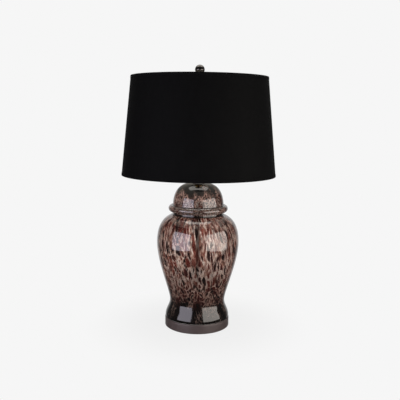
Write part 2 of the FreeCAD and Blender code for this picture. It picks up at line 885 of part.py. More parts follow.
def bulb_globe():
    """The globe above the collar, a shell of one ball that is open at the collar."""
    centre = bulb_tip + bulb_length - bulb_radius
    edge = bulb_tip + bulb_collar_end
    inner_radius = bulb_radius - bulb_globe_wall
    rim_r = bulb_collar_radius
    inner_rim_r = bulb_collar_radius - bulb_globe_wall

    handle = (centre - edge) * globe_handle_share

    def side(radius, rim):
        widest = at(radius, centre)
        flank = curve(at(rim, edge), at(rim, edge + handle), at(radius, centre - handle), widest)
        halfway = at(radius / math.sqrt(2), centre + radius / math.sqrt(2))
        return flank, arc(widest, halfway, at(0, centre + radius))

    outer_flank, outer_arc = side(bulb_radius, rim_r)
    inner_flank, inner_arc = side(inner_radius, inner_rim_r)
    outline = outer_flank + outer_arc
    outline += lines(at(0, centre + bulb_radius), at(0, centre + inner_radius))
    outline += inner_arc + inner_flank
    outline += lines(at(inner_rim_r, edge), at(rim_r, edge))
    return turned(outline)


# Shade

def shade_radius(level):
    """Outer radius of the cloth at a level."""
    return shade_top_radius + shade_slope * (shade_top - level)


def sheet(outer_inset, thickness):
    """A conical sheet of the shade's height, measured inwards from the cloth's outer face."""
    inner_inset = outer_inset + thickness
    return closed_turn(
        at(shade_radius(shade_bottom) - outer_inset, shade_bottom),
        at(shade_radius(shade_top) - outer_inset, shade_top),
        at(shade_radius(shade_top) - inner_inset, shade_top),
        at(shade_radius(shade_bottom) - inner_inset, shade_bottom),
    )


def shade_fabric():
    return sheet(0, fabric_thickness)


def shade_lining():
    return sheet(fabric_thickness, lining_thickness)


def ring_radius(level):
    return shade_radius(level) - sheet_thickness - ring_offset


def top_ring_level():
    return shade_top - ring_wire_radius


def bottom_ring_level():
    return shade_bottom + ring_wire_radius


def shade_ring(level):
    return Part.makeTorus(ring_radius(level), ring_wire_radius, at(0, level))


def shade_trim(edge, ring_level, inward):
    """A strip rolled round an edge of the shade and the wire ring in it."""
    outer_low = edge - inward * trim_height
    web = edge + inward * trim_thickness
    channel = ring_radius(ring_level) - ring_wire_radius
    leg_end = ring_level - inward * ring_wire_radius
    return closed_turn(
        at(shade_radius(outer_low), outer_low),
        at(shade_radius(outer_low) + trim_thickness, outer_low),
        at(shade_radius(edge) + trim_thickness, web),
        at(channel - trim_thickness, web),
        at(channel - trim_thickness, leg_end),
        at(channel, leg_end),
        at(channel, edge),
        at(shade_radius(edge), edge),
    )


def shade_trim_top():
    return shade_trim(shade_top, top_ring_level(), 1).cut(spider_arms())


def shade_trim_bottom():
    return shade_trim(shade_bottom, bottom_ring_level(), -1)


def spider_arm():
    """One arm along +X: level from the hub, then up to the ring's centre line."""
    hub_level = (hub_bottom + hub_top) / 2
    end = at(ring_radius(top_ring_level()), top_ring_level())
    corner = at(end.x - spider_rise_run, hub_level)
    slope = end - corner
    slope.normalize()
    turn = math.atan2(end.z - corner.z, end.x - corner.x)
    tangent = spider_bend_radius * math.tan(turn / 2)
    before = at(corner.x - tangent, hub_level)
    after = corner + slope * tangent
    centre = at(before.x, hub_level + spider_bend_radius)
    half = turn / 2
    middle = at(centre.x + spider_bend_radius * math.sin(half), centre.z - spider_bend_radius * math.cos(half))
    path = lines(at(spider_arm_start, hub_level), before) + arc(before, middle, after) + lines(after, end)
    return swept(path, spider_arm_radius)


def spider_arms():
    return around(spider_arm(), spider_arm_count, spider_first_angle)


def shade_spider():
    """Three wire arms on a washer, butted against the top ring."""
    hub = ring(spider_hub_radius, stud_radius + running_gap, hub_bottom, spider_hub_thickness)
    spider = hub.fuse(spider_arms())
    return spider.cut(shade_ring(top_ring_level())).removeSplitter()


# Finial

def finial_ball_solid():
    centre = finial_base_top - finial_seat_depth + finial_ball_radius
    return Part.makeSphere(finial_ball_radius, at(0, centre))


def finial_base():
    """A turned foot with a blind thread below and a cup for the ball above."""
    collar_top = finial_bottom + finial_collar_height
    bore_r = stud_radius + running_gap
    bore_top = stud_top + running_gap
    outline = lines(
        at(bore_r, finial_bottom),
        at(finial_collar_radius, finial_bottom),
        at(finial_collar_radius, collar_top),
    )
    outline += curve(
        at(finial_collar_radius, collar_top),
        at(finial_neck_radius, collar_top),
        at(finial_neck_radius, (collar_top + finial_base_top) / 2),
        at(finial_cup_radius, finial_base_top),
    )
    outline += lines(
        at(finial_cup_radius, finial_base_top),
        at(0, finial_base_top),
        at(0, bore_top),
        at(bore_r, bore_top),
        at(bore_r, finial_bottom),
    )
    return turned(outline).cut(finial_ball_solid())


nodes = {
    "felt_pad": felt_pad(),
    "bottom_cover": bottom_cover(),
    "cover_screws": cover_screws(),
    "ballast_disc": ballast_disc(),
    "plinth_shell": plinth_shell(),
    "cord_bushing": cord_bushing(),
    "bushing_nut": bushing_nut(),
    "rod_bottom_washer": rod_bottom_washer(),
    "rod_bottom_nut": rod_bottom_nut(),
    "rod": rod(),
    "jar_gasket": jar_gasket(),
    "jar_body": jar_body(),
    "lid_gasket": lid_gasket(),
    "jar_lid": jar_lid(),
    "cap_gasket": cap_gasket(),
    "lid_cap": lid_cap(),
    "lid_cap_nut": lid_cap_nut(),
    "neck_tube": neck_tube(),
    "harp_saddle": harp_saddle(),
    "saddle_washer": saddle_washer(),
    "harp_wire": harp_wire(),
    "harp_stud": harp_stud(),
    "ferrule_left": ferrule(-1),
    "ferrule_right": ferrule(1),
    "socket_cap": socket_cap(),
    "socket_shell": socket_shell(),
    "socket_liner": socket_liner(),
    "socket_body": socket_body(),
    "screw_shell": screw_shell(),
    "centre_contact": centre_contact(),
    "terminal_screws": terminal_screws(),
    "switch_stem": switch_stem(),
    "switch_knob": switch_knob(),
    "bulb_contact": bulb_contact(),
    "bulb_insulator": bulb_insulator(),
    "bulb_cap": bulb_cap(),
    "bulb_collar": bulb_collar(),
    "bulb_globe": bulb_globe(),
    "shade_fabric": shade_fabric(),
    "shade_lining": shade_lining(),
    "shade_top_ring": shade_ring(top_ring_level()),
    "shade_bottom_ring": shade_ring(bottom_ring_level()),
    "shade_spider": shade_spider(),
    "shade_trim_top": shade_trim_top(),
    "shade_trim_bottom": shade_trim_bottom(),
    "finial_base": finial_base(),
    "finial_ball": finial_ball_solid(),
}

os.makedirs("parts", exist_ok=True)
for name, shape in nodes.items():
    shape.exportStep(f"parts/{name}.step")
    print(name, shape.isValid(), len(shape.Solids), round(shape.Volume, 1))
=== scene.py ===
import json
import math

import bmesh
import bpy
from mathutils import Matrix, Vector

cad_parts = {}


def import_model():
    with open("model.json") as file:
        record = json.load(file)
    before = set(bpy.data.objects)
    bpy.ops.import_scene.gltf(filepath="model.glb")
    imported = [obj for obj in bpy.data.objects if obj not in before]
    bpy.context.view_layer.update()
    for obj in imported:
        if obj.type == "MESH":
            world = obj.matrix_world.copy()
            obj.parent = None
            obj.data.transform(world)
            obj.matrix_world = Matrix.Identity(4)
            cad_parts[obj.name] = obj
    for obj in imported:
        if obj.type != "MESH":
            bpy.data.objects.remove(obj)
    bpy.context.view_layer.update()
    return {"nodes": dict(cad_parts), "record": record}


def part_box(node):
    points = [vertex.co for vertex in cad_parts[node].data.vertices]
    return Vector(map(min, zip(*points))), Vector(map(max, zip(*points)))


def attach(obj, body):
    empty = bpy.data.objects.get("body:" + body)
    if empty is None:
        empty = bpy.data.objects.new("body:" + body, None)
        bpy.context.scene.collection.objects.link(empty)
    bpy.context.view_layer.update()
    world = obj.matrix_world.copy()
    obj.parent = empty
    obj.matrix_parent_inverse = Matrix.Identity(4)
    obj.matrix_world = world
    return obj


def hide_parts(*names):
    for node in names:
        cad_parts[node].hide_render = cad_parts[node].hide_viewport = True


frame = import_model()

# Table lamp: the looks of its glass jar, metal plinth, cloth shade, harp, socket, bulb and finial.
# Metres, +Z up, in the frame of the CAD nodes. Radii and heights are measured from the lamp's axis
# and the table.

mm = 0.001
full_turn = 2 * math.pi

# How finely turned pieces are divided
round_steps = 192
curve_steps = 24
fine_curve_steps = 6
crease_angle = math.radians(35)
merge_distance = 0.001 * mm

# Camera, set from the shade's rims, the plinth and the horizon
lens_mm = 54.0
sensor_mm = 36.0
camera_distance = 1.685
camera_height = 0.602
camera_side = 0.0048            # to the right of the lamp's axis
camera_pitch = math.radians(8.06)
camera_roll = math.radians(0.72)

# Glass jar: sizes above its own underside
jar_low, jar_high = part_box("jar_body")
jar_bottom = jar_low.z
jar_rim = jar_high.z
belly_radius = jar_high.x
foot_radius = 91.0 * mm
foot_edge_radius = 2.0 * mm
waist_radius = 78.5 * mm
waist_height = 49.0 * mm
belly_height = 217.0 * mm
neck_radius = 71.0 * mm
shoulder_height = 296.5 * mm
shoulder_slope = math.radians(22)
neck_fillet = 2.5 * mm
rim_edge_radius = 1.0 * mm
jar_wall = 4.0 * mm
jar_floor = 6.0 * mm
floor_fillet = 4.0 * mm
rod_hole_radius = 5.2 * mm
# Reach of the first and last handle of each curve: a share of its rise, or of its run at the neck
foot_handle_shares = (0.4, 0.4)
body_handle_shares = (0.15, 0.35)
shoulder_handle_shares = (0.74, 0.4)

# Glass lid: levels from its node, the ledge above the jar's rim
lid_low, lid_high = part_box("jar_lid")
lid_lip_edge = lid_low.z
lid_top = lid_high.z
lid_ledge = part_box("lid_gasket")[1].z
lid_wall = 3.8 * mm
lid_top_radius = 20.0 * mm
dome_radius = neck_radius + 0.8 * mm
crease_step = 0.8 * mm
lip_gap = 1.2 * mm
lip_edge_width = 2.8 * mm
lip_widest_radius = lid_high.x
lip_widest_share = 0.6
dome_handle_shares = (0.25, 0.9)    # of its rise and of its run


# Colours and materials

def colour(code):
    """A hex sRGB colour as linear red, green, blue and alpha."""
    channels = [int(code[place:place + 2], 16) / 255 for place in (1, 3, 5)]
    linear = [c / 12.92 if c <= 0.04045 else ((c + 0.055) / 1.055) ** 2.4 for c in channels]
    return (*linear, 1.0)


def add(tree, kind, inputs=(), stops=(), **settings):
    """Adds a node with its settings. Its inputs come in order or by name, and each takes a value, the
    output that feeds it, or the node whose first output does."""
    node = tree.nodes.new("ShaderNode" + kind)
    for name, setting in settings.items():
        setattr(node, name, setting)
    for name, given in inputs.items() if isinstance(inputs, dict) else enumerate(inputs):
        if isinstance(given, bpy.types.Node):
            given = given.outputs[0]
        if isinstance(given, bpy.types.NodeSocket):
            tree.links.new(given, node.inputs[name])
        else:
            node.inputs[name].default_value = given
    if stops:
        ramp = node.color_ramp
        while len(ramp.elements) < len(stops):
            ramp.elements.new(1.0)
        for element, (place, shade) in zip(ramp.elements, stops):
            element.position = place
            element.color = shade
    return node


# Sockets of the Mix node when it mixes colours
mix_a, mix_b, mix_result = 6, 7, 2


def material(name):
    """A new material and its empty node tree."""
    made = bpy.data.materials.new(name)
    made.use_nodes = True
    made.node_tree.nodes.clear()
    return made, made.node_tree


def plain_finish(name, light, dark, grain, roughness, spread=0.05, metallic=0.0, specular=0.5,
                 bump=0.02 * mm):
    """A surface of two close tones with an uneven grain of a real size in its colour, its gloss and
    its relief."""
    made, tree = material(name)
    places = add(tree, "TexCoord").outputs["Object"]
    unevenness = add(tree, "TexNoise", {"Vector": places, "Scale": 1 / grain, "Detail": 3.0})
    tone = add(tree, "Mix", {0: unevenness, mix_a: colour(light), mix_b: colour(dark)}, data_type="RGBA")
    gloss = add(tree, "MapRange", (unevenness, 0.0, 1.0, roughness - spread, roughness + spread))
    relief = add(tree, "Bump", {"Height": unevenness, "Distance": bump, "Strength": 0.5})
    shader = add(tree, "BsdfPrincipled", {
        "Base Color": tone.outputs[mix_result],
        "Roughness": gloss,
        "Metallic": metallic,
        "Specular IOR Level": specular,
        "Normal": relief,
    })
    add(tree, "OutputMaterial", {"Surface": shader})
    return made


# Shapes

def bezier(poles, steps=curve_steps):
    """Points along a cubic curve, without its first one."""
    a, b, c, d = [Vector(pole) for pole in poles]
    points = []
    for step in range(1, steps + 1):
        t = step / steps
        s = 1 - t
        points.append(tuple(a * s ** 3 + b * 3 * s * s * t + c * 3 * s * t * t + d * t ** 3))
    return points


def quarter(start, corner, end):
    """Points along a quarter round in a square corner, without its first one."""
    start, corner, end = Vector(start), Vector(corner), Vector(end)
    centre = start + end - corner
    points = []
    for step in range(1, fine_curve_steps + 1):
        angle = math.pi / 2 * step / fine_curve_steps
        points.append(tuple(centre + (start - centre) * math.cos(angle) + (end - centre) * math.sin(angle)))
    return points


def arc_through(start, middle, end, steps=curve_steps):
    """Points along the arc through three points, without its first one."""
    (ax, ay), (bx, by), (cx, cy) = start, middle, end
    double_area = ax * (by - cy) + bx * (cy - ay) + cx * (ay - by)
    a, b, c = [x * x + y * y for x, y in (start, middle, end)]
    ux = (a * (by - cy) + b * (cy - ay) + c * (ay - by)) / (2 * double_area)
    uy = (a * (cx - bx) + b * (ax - cx) + c * (bx - ax)) / (2 * double_area)
    radius = math.hypot(ax - ux, ay - uy)
    first = math.atan2(ay - uy, ax - ux)
    passing = (math.atan2(by - uy, bx - ux) - first) % full_turn
    sweep = (math.atan2(cy - uy, cx - ux) - first) % full_turn
    if passing > sweep:
        sweep -= full_turn
    angles = [first + sweep * step / steps for step in range(1, steps + 1)]
    return [(ux + radius * math.cos(angle), uy + radius * math.sin(angle)) for angle in angles]


def run_length(points):
    """How long an outline is."""
    return sum(math.dist(*pair) for pair in zip(points, points[1:]))


def new_piece(name, tool):
    """Makes a smooth-shaded object of a bmesh, with creases where its faces meet at a sharp angle."""
    mesh = bpy.data.meshes.new(name)
    tool.to_mesh(mesh)
    tool.free()
    mesh.shade_smooth()
    mesh.set_sharp_from_angle(angle=crease_angle)
    piece = bpy.data.objects.new(name, mesh)
    bpy.context.scene.collection.objects.link(piece)
    return piece


def turned(name, outer, inner):
    """A piece turned about the lamp's axis from its outer outline and the inner one that closes it.

    Every point keeps how far it lies along the outer outline, for patterns that follow it. Points of
    the inner outline keep a distance below zero, and faces among them take the second material."""
    tool = bmesh.new()
    along = tool.verts.layers.float.new("along")
    verts = []
    distance = 0.0
    last = outer[0]
    for radius, height in outer:
        distance += math.dist(last, (radius, height))
        last = (radius, height)
        vert = tool.verts.new((radius, 0, height))
        vert[along] = distance
        verts.append(vert)
    for radius, height in inner:
        vert = tool.verts.new((radius, 0, height))
        vert[along] = -1.0
        verts.append(vert)
    edges = [tool.edges.new(pair) for pair in zip(verts, verts[1:] + verts[:1])]
    bmesh.ops.spin(tool, geom=verts + edges, axis=(0, 0, 1), cent=(0, 0, 0), angle=full_turn,
                   steps=round_steps, use_merge=True)
    bmesh.ops.remove_doubles(tool, verts=tool.verts, dist=merge_distance)
    bmesh.ops.recalc_face_normals(tool, faces=tool.faces)
    for face in tool.faces:
        if all(vert[along] < 0 for vert in face.verts):
            face.material_index = 1
    return new_piece(name, tool)


def smoothed(node):
    """A smooth-shaded copy of a CAD node, merged from its loose triangles, that stands for it."""
    tool = bmesh.new()
    tool.from_mesh(frame["nodes"][node].data)
    bmesh.ops.remove_doubles(tool, verts=tool.verts, dist=merge_distance)
    piece = new_piece(node + "_smooth", tool)
    piece.data.materials.clear()
    return piece


def settle(piece, body, slot, finishes, *nodes):
    """Gives a piece its materials and its body, and hides the CAD nodes it stands for. The slot is not
    used.
    """
    for made in finishes:
        piece.data.materials.append(made)
    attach(piece, body)
    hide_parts(*nodes)
    return piece


# Glass

cell_width = 9.5 * mm           # chips of brown glass, drawn out as the jar is blown
cell_length = 30.0 * mm
short_cell_length = 14.0 * mm   # low in the jar, where the gather was thick
long_cell_length = 42.0 * mm    # on the shoulder, where the glass was drawn in to the neck
lid_cell_width = 7.5 * mm
lid_cell_length = 9.5 * mm
lip_pace = 2.2                  # chips of the lid's lip lie along it, flattened this much
fleck_size = 4.5 * mm           # finest chips, seen as a mesh in the dark ones
cloud_size = 24.0 * mm          # patches where the veins close up or open
blotch_size = 62.0 * mm         # larger areas of closer or looser chips
strand_size = 8.0 * mm          # how fast a vein changes its brightness
wavers = (                      # size and reach of the pattern's bends
    (75.0 * mm, 18.0 * mm),
    (13.0 * mm, 6.0 * mm),
    (5.0 * mm, 1.8 * mm),
)
jar_pattern_start = 2.6         # where round the glass the pattern starts, in radians
lid_pattern_start = 0.8
pattern_twist = 0.8             # turn of the pattern up the glass, in radians per metre
ripple_size = 26.0 * mm         # unevenness of the blown surface
ripple_depth = 0.45 * mm

# Veins, in shares of a chip's width, and their light
widest_vein_share = 0.14        # half the widest vein
vein_edge_shares = (-0.02, 0.04)    # from a vein's edge: where its light is whole, and where it ends
fine_vein_share = 0.13          # half a vein between the finest chips
cloud_levels = (0.3, 0.7)       # levels of the clouds' noise, from closed to open
cloud_shares = (-0.18, 0.0)     # what they add to half a vein's width there
blotch_levels = (0.38, 0.62)
blotch_shares = (-0.07, 0.05)
strand_levels = (0.36, 0.54)
strand_light = (0.2, 1.0)
fine_levels = (0.4, 0.65)       # levels of the blotches' noise, from dull to bright fine veins
fine_light = (0.15, 1.0)

# Darker places: painted shade at the left and right, under the lid's lip and in the lid's crease
jar_side_shade = 0.27            # painted shade: colour closed more at the left and right, where the glass is seen at a slant
lid_side_shade = 0.45
side_shade_shares = (0.4, 0.9)        # of the way from the middle to the side, where that starts and is whole
neck_shade_rise = 2.5 * mm       # painted shade in a ring under the lid's lip, above the jar's shoulder
neck_shade_half_width = 5.0 * mm
lip_shade_half_width = 6.5 * mm  # painted shade under the lip and in the crease above it
crease_shade_half_width = 2.0 * mm
shade_core_share = 0.6           # of the half width, in which a fold's painted shade is darkest
fold_shade_darkness = 0.95               # how dark it is there

# The glass itself
glass_ior = 1.6                 # a heavy glass
glass_roughness = 0.09
inner_roughness = 0.02
polish_roughness = 0.05         # of the clear glass over the chips
veiled_polish = 0.4             # what gloss that clear glass keeps where the colour is closed
clearness = (0.8, 0.9)          # share of the light that passes the chips, and the veins


def pushed(tree, places, size, reach):
    """Places moved by noise of the given size, up to the given reach."""
    moves = add(tree, "TexNoise", {"Vector": places, "Scale": 1 / size, "Detail": 2.0})
    centred = add(tree, "VectorMath", (moves.outputs["Color"], (0.5, 0.5, 0.5)), operation="SUBTRACT")
    offset = add(tree, "VectorMath", {0: centred, "Scale": 2 * reach}, operation="SCALE")
    return add(tree, "VectorMath", (places, offset), operation="ADD")


def profile(tree, along, pairs):
    """A share from 0 to 1 that follows (distance, share) pairs along the outline."""
    end = pairs[-1][0]
    run = add(tree, "MapRange", (along, 0.0, end, 0.0, 1.0))
    stops = [(place / end, (share, share, share, 1.0)) for place, share in pairs]
    return add(tree, "ValToRGB", (run,), stops)


def blown_pattern(tree, start, paces):
    """Places that run round the glass and along its outline, so that chips lie lengthwise and fan in
    at the neck. Paces are (distance, pace) pairs: how a length along the outline, up to that distance,
    counts against one round it.

    Gives the way along the outline, how far the surface faces left or right, and the places before
    and after the pattern is bent."""
    places = add(tree, "TexCoord").outputs["Object"]
    flat = add(tree, "VectorMath", (places, (1, 1, 0)), operation="MULTIPLY")
    way = add(tree, "VectorMath", (flat,), operation="NORMALIZE")
    circle = add(tree, "VectorMath", {0: way, "Scale": belly_radius}, operation="SCALE")
    along = add(tree, "Attribute", attribute_name="along").outputs["Fac"]
    twist = add(tree, "Math", (along, pattern_twist, start), operation="MULTIPLY_ADD")
    turned_circle = add(tree, "VectorRotate", {"Vector": circle, "Angle": twist}, rotation_type="Z_AXIS")
    rises = [(0.0, 0.0)]
    for place, pace in paces:
        rises.append((place, rises[-1][1] + pace * (place - rises[-1][0])))
    whole = rises[-1][1]
    risen = profile(tree, along, [(place, level / whole) for place, level in rises])
    rise = add(tree, "Math", (risen, whole), operation="MULTIPLY")
    lift = add(tree, "CombineXYZ", {"Z": rise})
    flow = add(tree, "VectorMath", (turned_circle, lift), operation="ADD")
    bent = flow
    for size, reach in wavers:
        bent = pushed(tree, bent, size, reach)
    parts = add(tree, "SeparateXYZ", (way,))
    sideways = add(tree, "Math", (parts.outputs["X"],), operation="ABSOLUTE")
    return along, sideways, flow, bent


def vein_light(tree, along, flow, bent, width, veins, fine_share):
    """How bright the veins between the chips are, and the finest ones within the chips. Veins close up
    in clouds and in larger blotches, and change their brightness along their length."""
    edges = add(tree, "TexVoronoi", {"Vector": bent, "Scale": 1 / width}, feature="DISTANCE_TO_EDGE")
    flecks = add(tree, "TexVoronoi", {"Vector": bent, "Scale": 1 / fleck_size}, feature="DISTANCE_TO_EDGE")
    clouds = add(tree, "TexNoise", {"Vector": flow, "Scale": 1 / cloud_size, "Detail": 2.0})
    blotches = add(tree, "TexNoise", {"Vector": flow, "Scale": 1 / blotch_size, "Detail": 1.0})
    strands = add(tree, "TexNoise", {"Vector": bent, "Scale": 1 / strand_size, "Detail": 3.0})
    by_clouds = add(tree, "MapRange", (clouds, *cloud_levels, *cloud_shares))
    by_blotches = add(tree, "MapRange", (blotches, *blotch_levels, *blotch_shares))
    uneven = add(tree, "Math", (by_clouds, by_blotches), operation="ADD")
    wanted = add(tree, "Math", (profile(tree, along, veins), uneven), operation="ADD")
    half_width = add(tree, "Math", (wanted, widest_vein_share), operation="MINIMUM")
    beyond = add(tree, "Math", (edges, half_width), operation="SUBTRACT")
    inside = add(tree, "MapRange", (beyond, *vein_edge_shares, 1.0, 0.0))
    brightness = add(tree, "MapRange", (strands, *strand_levels, *strand_light))
    net = add(tree, "Math", (inside, brightness), operation="MULTIPLY")
    fine_inside = add(tree, "MapRange", (flecks, 0.0, fine_vein_share, fine_share, 0.0))
    fine_brightness = add(tree, "MapRange", (blotches, *fine_levels, *fine_light))
    fine = add(tree, "Math", (fine_inside, fine_brightness), operation="MULTIPLY")
    return add(tree, "Math", (net, fine), operation="MAXIMUM")


def chip_tones(tree, bent, width):
    """Each chip in its own tone, from black through maroon to amber brown."""
    chips = add(tree, "TexVoronoi", {"Vector": bent, "Scale": 1 / width})
    chance = add(tree, "SeparateXYZ", (chips.outputs["Color"],))
    return add(tree, "ValToRGB", (chance,), (
        (0.00, colour("#0b0405")),
        (0.35, colour("#1b0a0a")),
        (0.60, colour("#501613")),
        (0.85, colour("#702920")),
        (1.00, colour("#7c4236")),
    ))


def painted_fold_shade(tree, along, shaded_folds):
    """How dark the painted shade is in folds under the lid's lip and in its crease, given as (distance,
    half width) pairs.
    """
    fold_shade = 0.0
    for fold, half_width in shaded_folds:
        offset = add(tree, "Math", (along, fold), operation="SUBTRACT")
        apart = add(tree, "Math", (offset,), operation="ABSOLUTE")
        near = add(tree, "MapRange", (apart, shade_core_share * half_width, half_width, fold_shade_darkness, 0.0))
        fold_shade = add(tree, "Math", (near, fold_shade), operation="MAXIMUM")
    return fold_shade


def tortoise_glass(name, width, start, paces, veins, fine_share, veils, side_shade, dimming, dim, deep,
                   shaded_folds):
    """Clear blown glass cased over chips of brown glass, as on a gathered and rolled vase: long dark
    cells of black, maroon and amber brown, thin pinkish light between them, under a wet gloss.

    Width is a chip's, and start and paces place the pattern. Veins and veils are (distance, share)
    pairs along the outline: half the width of the light veins, and how far the colour closes. Painted
    shade closes it further at the left and right, where the glass is seen at a slant. Where it is
    closed, no light passes, the veins lose the dimming share of their light and turn to the dim
    colour, and the chips turn to the deep one. Fine_share is the light of the finest veins. The folds
    hold painted shade, near black and without gloss, under the lid's lip and in its crease."""
    made, tree = material(name)
    along, sideways, flow, bent = blown_pattern(tree, start, paces)
    # Painted shade: the colour closes more towards the left and right sides
    shaded_sides = add(tree, "MapRange", (sideways, *side_shade_shares, 0.0, side_shade))
    veil = add(tree, "Math", (profile(tree, along, veils), shaded_sides), operation="MAXIMUM")
    shown = add(tree, "MapRange", (veil, 0.0, 1.0, 1.0, 1.0 - dimming))
    veined = vein_light(tree, along, flow, bent, width, veins, fine_share)
    light = add(tree, "Math", (veined, shown), operation="MULTIPLY")
    glow = add(tree, "ValToRGB", (light,), (
        (0.00, colour("#783226")),
        (0.30, colour("#e2987e")),
        (0.60, colour("#fed8c4")),
        (1.00, colour("#fff3e8")),
    ))
    chips = chip_tones(tree, bent, width)
    open_tone = add(tree, "Mix", {0: light, mix_a: chips, mix_b: glow}, data_type="RGBA")
    closed_tone = add(tree, "Mix", {0: light, mix_a: colour(deep), mix_b: colour(dim)}, data_type="RGBA")
    tone = add(tree, "Mix", {
        0: veil,
        mix_a: open_tone.outputs[mix_result],
        mix_b: closed_tone.outputs[mix_result],
    }, data_type="RGBA")
    # Painted shade in the folds: a near-black tone, no light passing through and no gloss
    fold_shade = painted_fold_shade(tree, along, shaded_folds)
    fold_shaded_tone = add(tree, "Mix", {
        0: fold_shade,
        mix_a: tone.outputs[mix_result],
        mix_b: colour("#0c0604"),
    }, data_type="RGBA")
    closed = add(tree, "Math", (veil, fold_shade), operation="MAXIMUM")
    left_open = add(tree, "Math", (1.0, closed), operation="SUBTRACT")
    passing = add(tree, "MapRange", (light, 0.0, 1.0, *clearness))
    through = add(tree, "Math", (passing, left_open), operation="MULTIPLY")
    veiled_gloss = add(tree, "MapRange", (veil, 0.0, 1.0, 1.0, veiled_polish))
    fold_shade_gloss = add(tree, "MapRange", (fold_shade, 0.0, 1.0, 1.0, 0.0))
    polish = add(tree, "Math", (veiled_gloss, fold_shade_gloss), operation="MINIMUM")
    ripple = add(tree, "TexNoise", {"Vector": flow, "Scale": 1 / ripple_size, "Detail": 2.0})
    relief = add(tree, "Bump", {"Height": ripple, "Distance": ripple_depth})
    shader = add(tree, "BsdfPrincipled", {
        "Base Color": fold_shaded_tone.outputs[mix_result],
        "Roughness": glass_roughness,
        "IOR": glass_ior,
        "Coat Weight": polish,
        "Coat Roughness": polish_roughness,
        "Transmission Weight": through,
        "Normal": relief,
    })
    add(tree, "OutputMaterial", {"Surface": shader})
    return made


def clear_glass(name):
    """The clear inner face of the casing, smooth and all but colourless, so that the light only passes
    through it."""
    made, tree = material(name)
    shader = add(tree, "BsdfPrincipled", {
        "Base Color": colour("#f4ece8"),
        "Roughness": inner_roughness,
        "IOR": glass_ior,
        "Transmission Weight": 1.0,
    })
    add(tree, "OutputMaterial", {"Surface": shader})
    return made


def shoulder_round(neck_r, radius, level):
    """Start, middle and end of the arc that turns the sloping shoulder, at a level, up into a neck."""
    sweep = math.pi / 2 - shoulder_slope
    centre = (neck_r + radius, level + radius * math.sin(sweep))
    turns = [sweep, sweep / 2, 0]
    return [(centre[0] - radius * math.cos(turn), centre[1] - radius * math.sin(turn)) for turn in turns]


def jar_side(inset, foot_level):
    """The jar's side from foot to shoulder, drawn inset from its outer face."""
    waist = jar_bottom + waist_height
    belly = jar_bottom + belly_height
    shoulder = jar_bottom + shoulder_height - inset
    foot_r = foot_radius - inset
    waist_r = waist_radius - inset
    belly_r = belly_radius - inset
    neck_r = shoulder_round(neck_radius, neck_fillet, shoulder)[0][0]
    foot_first, foot_last = foot_handle_shares
    body_first, body_last = body_handle_shares
    shoulder_first, shoulder_last = shoulder_handle_shares
    last_run = shoulder_last * (belly_r - neck_r)
    points = [(foot_r, foot_level)]
    points += bezier([
        (foot_r, foot_level),
        (foot_r, foot_level + foot_first * (waist - foot_level)),
        (waist_r, waist - foot_last * (waist - foot_level)),
        (waist_r, waist),
    ])
    points += bezier([
        (waist_r, waist),
        (waist_r, waist + body_first * (belly - waist)),
        (belly_r, belly - body_last * (belly - waist)),
        (belly_r, belly),
    ], 2 * curve_steps)
    points += bezier([
        (belly_r, belly),
        (belly_r, belly + shoulder_first * (shoulder - belly)),
        (neck_r + last_run, shoulder - last_run * math.tan(shoulder_slope)),
        (neck_r, shoulder),
    ])
    return points


